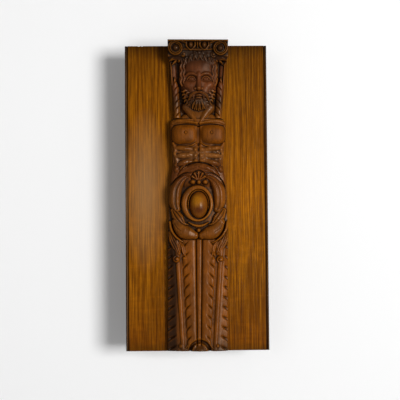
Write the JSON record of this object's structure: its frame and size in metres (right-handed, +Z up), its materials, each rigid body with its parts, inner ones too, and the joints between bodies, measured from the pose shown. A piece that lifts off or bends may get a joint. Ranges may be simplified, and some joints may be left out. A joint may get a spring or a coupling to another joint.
{
  "type": "carved wall panel",
  "caption": "Upright oak wall panel: a beaded board carrying a carved pilaster with a bearded figure, an oval cartouche and a tapering reeded shaft.",
  "frame": {"origin": "middle of the board's flat back, where it lies on the wall", "axes": "+Z up the panel, +X to the right seen from the front, the carved front faces -Y"},
  "size_m": [0.284, 0.0653, 0.6138],
  "materials": {
    "board_oak": "waxed golden oak, satin",
    "carved_oak": "dark waxed oak, satin, darker in the hollows"
  },
  "bodies": {
    "root": {"backboard": "board_oak", "carved_pilaster": "carved_oak"}
  },
  "joints": []
}
